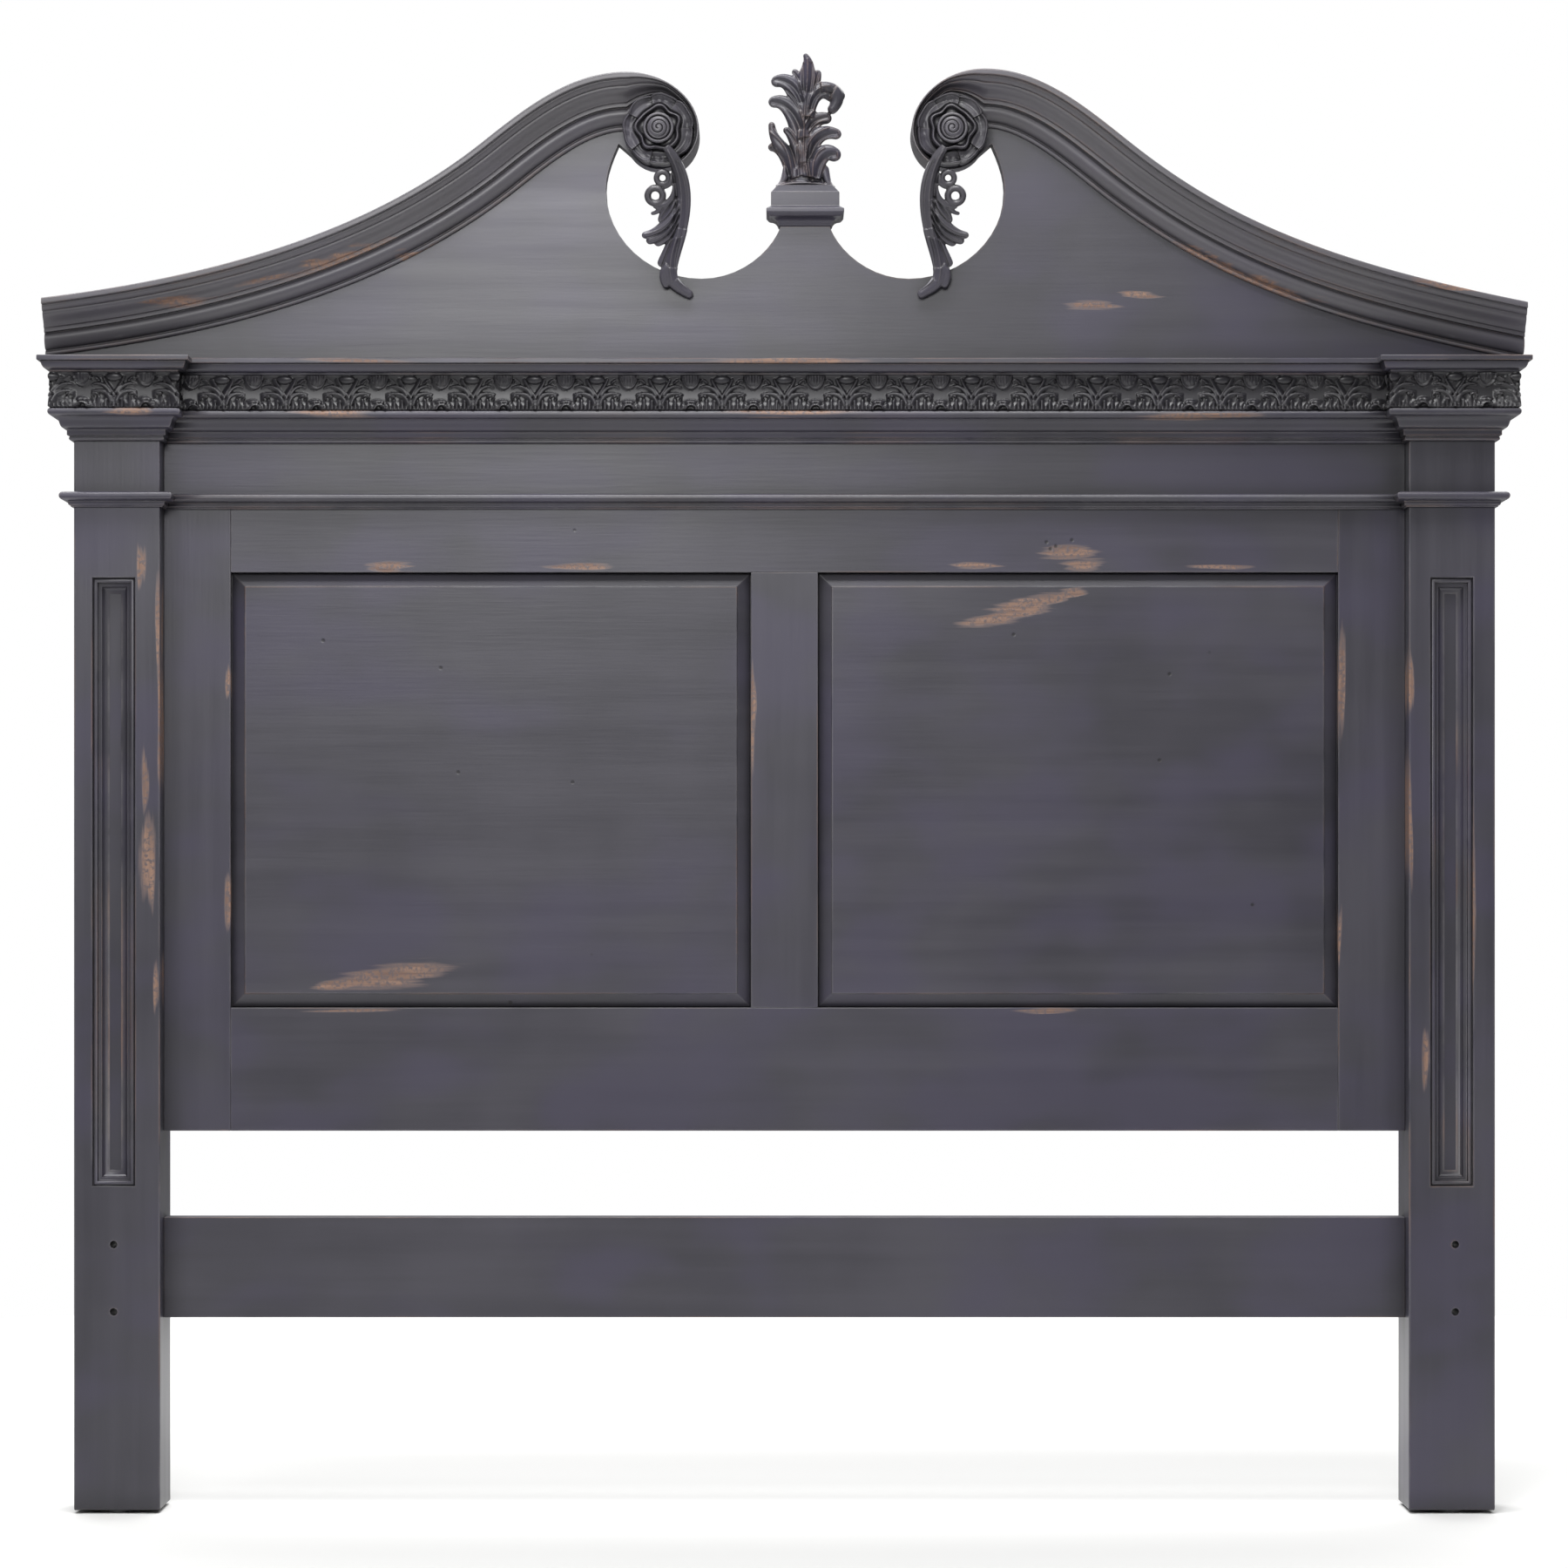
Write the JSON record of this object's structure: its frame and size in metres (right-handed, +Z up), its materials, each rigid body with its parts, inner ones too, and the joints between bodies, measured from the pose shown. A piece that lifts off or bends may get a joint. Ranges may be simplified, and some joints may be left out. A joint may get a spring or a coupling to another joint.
{
  "type": "bed headboard",
  "caption": "Panelled bed headboard with pilaster posts, carved frieze and a broken swan-neck pediment with rosettes, pierced droppers and a leaf finial.",
  "frame": {"origin": "on the floor, at the bottom centre of the whole object's box", "axes": "+Z up, +X to the right of a viewer facing the front, the front faces -Y and the back faces +Y"},
  "size_m": [2.208, 0.161, 2.181],
  "materials": {
    "post_paint": "distressed satin paint, rubbed through on the edges",
    "frame_paint": "distressed satin paint, brushed along the grain",
    "panel_paint": "distressed satin paint with rubbed patches and dents",
    "moulding_paint": "distressed satin paint, worn on the high edges",
    "carving_paint": "distressed satin paint, dark in the hollows and rubbed on the high points",
    "bare_mahogany": "bare oiled mahogany",
    "screw_steel": "dull zinc-plated steel",
    "glide_plastic": "hard black plastic"
  },
  "bodies": {
    "root": {"left_post": "post_paint", "right_post": "post_paint", "left_recess_moulding": "moulding_paint", "right_recess_moulding": "moulding_paint", "left_foot_glides": "glide_plastic", "right_foot_glides": "glide_plastic", "lower_rail": "frame_paint", "lower_rail_pegs": "bare_mahogany", "bottom_rail": "frame_paint", "top_rail": "frame_paint", "left_stile": "frame_paint", "right_stile": "frame_paint", "centre_stile": "frame_paint", "left_panel": "panel_paint", "right_panel": "panel_paint", "frame_pegs": "bare_mahogany", "architrave_board": "frame_paint", "corner_blocks": "bare_mahogany", "neck_bead_centre": "moulding_paint", "neck_bead_left": "moulding_paint", "neck_bead_right": "moulding_paint", "architrave_moulding_centre": "moulding_paint", "architrave_moulding_left": "moulding_paint", "architrave_moulding_right": "moulding_paint", "frieze_centre": "carving_paint", "frieze_left": "carving_paint", "frieze_right": "carving_paint", "cornice_moulding_centre": "moulding_paint", "cornice_moulding_left": "moulding_paint", "cornice_moulding_right": "moulding_paint", "cornice_cap": "moulding_paint", "cap_screws": "screw_steel", "pediment_board": "frame_paint", "pediment_dowels": "bare_mahogany", "left_crown_moulding": "moulding_paint", "right_crown_moulding": "moulding_paint", "left_bed_moulding": "moulding_paint", "right_bed_moulding": "moulding_paint", "left_rosette": "carving_paint", "right_rosette": "carving_paint", "rosette_dowels": "bare_mahogany", "left_dropper": "carving_paint", "right_dropper": "carving_paint", "dropper_pins": "screw_steel", "finial_plinth": "carving_paint", "finial_leaf": "carving_paint", "finial_dowel": "bare_mahogany", "left_batten": "bare_mahogany", "centre_batten": "bare_mahogany", "right_batten": "bare_mahogany", "batten_screws": "screw_steel"}
  },
  "joints": []
}
